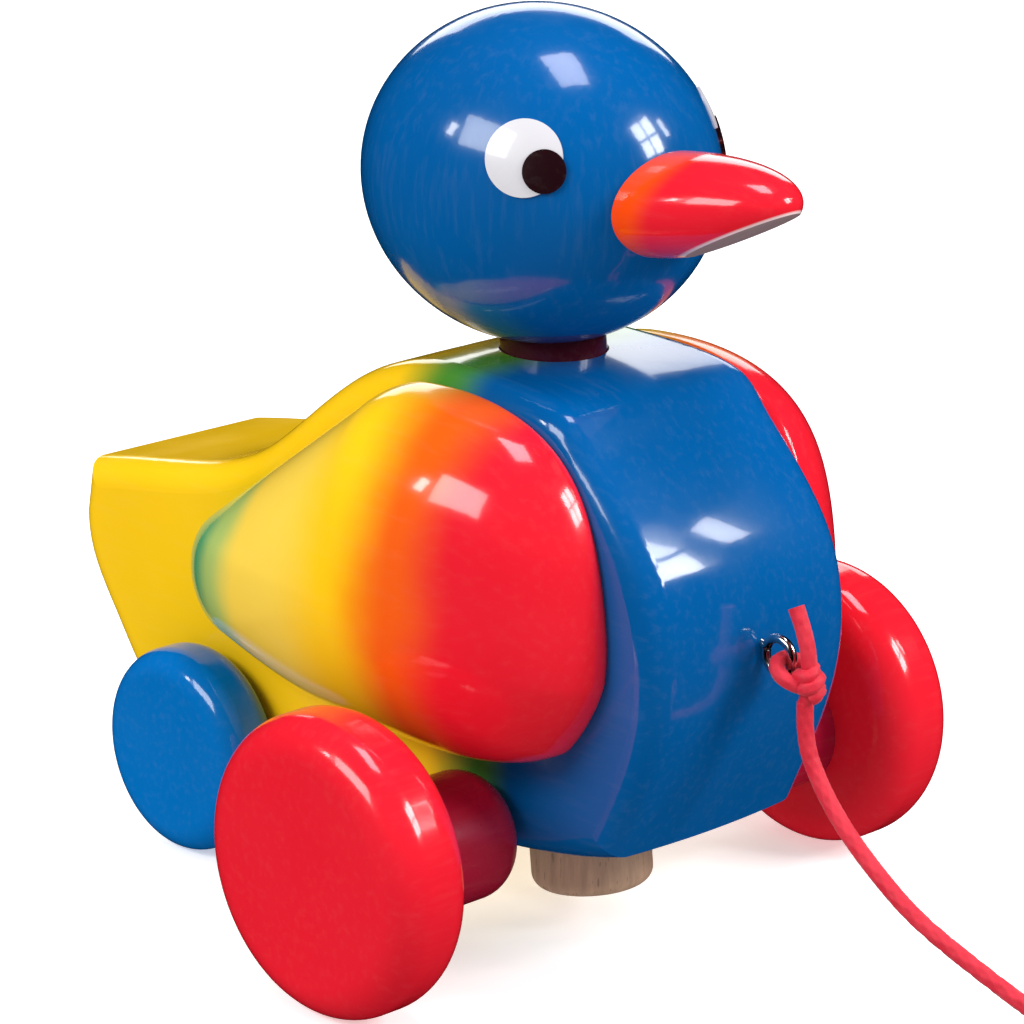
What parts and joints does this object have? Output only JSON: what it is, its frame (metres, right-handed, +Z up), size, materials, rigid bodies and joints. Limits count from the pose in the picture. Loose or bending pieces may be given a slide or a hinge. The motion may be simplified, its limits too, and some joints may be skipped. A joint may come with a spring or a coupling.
{
  "type": "pull-along toy duck",
  "caption": "Painted wooden duck on four wheels, pulled by a cord: wide-set front wheels bored off centre, a turning and nodding head, wings glued to the sides.",
  "frame": {"origin": "on the floor, half way between the rear of the tail and the front of the screw eye's ring, in the middle of the body's width", "axes": "+X forward to the beak, +Y to the duck's left, +Z up"},
  "size_m": [0.3324, 0.153, 0.1836],
  "materials": {
    "body_lacquer": "gloss lacquer, blue in front and yellow behind",
    "wing_lacquer": "gloss lacquer, red through yellow to green",
    "blue_lacquer": "gloss lacquer",
    "beak_lacquer": "gloss lacquer, orange at the base",
    "red_lacquer": "gloss lacquer",
    "hub_lacquer": "gloss lacquer",
    "white_paint": "gloss paint",
    "dark_paint": "gloss paint",
    "bare_wood": "smooth, unpainted",
    "washer_plastic": "matte",
    "bright_metal": "polished nickel",
    "red_cord": "braided cotton"
  },
  "bodies": {
    "duck_body": {"body": "body_lacquer", "right_wing": "wing_lacquer", "left_wing": "wing_lacquer", "right_wing_dowels": "bare_wood", "left_wing_dowels": "bare_wood", "belly_plug": "bare_wood", "screw_eye": "bright_metal", "cord_loop": "red_cord", "pull_cord": "red_cord", "cord_coil": "red_cord", "cord_end_knot": "red_cord"},
    "front_wheelset": {"front_axle": "bare_wood", "cam": "bare_wood", "right_front_wheel": "red_lacquer", "left_front_wheel": "red_lacquer", "right_hub": "hub_lacquer", "left_hub": "hub_lacquer"},
    "rear_wheelset": {"rear_axle": "bare_wood", "right_rear_wheel": "blue_lacquer", "left_rear_wheel": "blue_lacquer", "right_washer": "washer_plastic", "left_washer": "washer_plastic"},
    "neck_lift": {"cam_follower": "bare_wood"},
    "turning_head": {"neck_screw": "bright_metal", "neck_stem": "bare_wood", "neck_collar": "hub_lacquer", "head": "blue_lacquer", "beak": "beak_lacquer", "beak_dowel": "bare_wood", "right_eye": "white_paint", "left_eye": "white_paint", "right_pupil": "dark_paint", "left_pupil": "dark_paint"}
  },
  "joints": [
    {"name": "front_axle_roll", "type": "hinge", "parent": "duck_body", "child": "front_wheelset", "pos_m": [0.03897, 0, 0.027], "axis": [0, 1, 0], "continuous": true},
    {"name": "rear_axle_roll", "type": "hinge", "parent": "duck_body", "child": "rear_wheelset", "pos_m": [-0.04403, 0, 0.0217], "axis": [0, 1, 0], "continuous": true},
    {"name": "neck_lift", "type": "slide", "parent": "duck_body", "child": "neck_lift", "axis": [-0.1219, 0, 0.9925], "range_m": [0, 0.003]},
    {"name": "head_turn", "type": "hinge", "parent": "neck_lift", "child": "turning_head", "pos_m": [0.03747, 0, 0.027], "axis": [-0.1219, 0, 0.9925], "continuous": true}
  ]
}
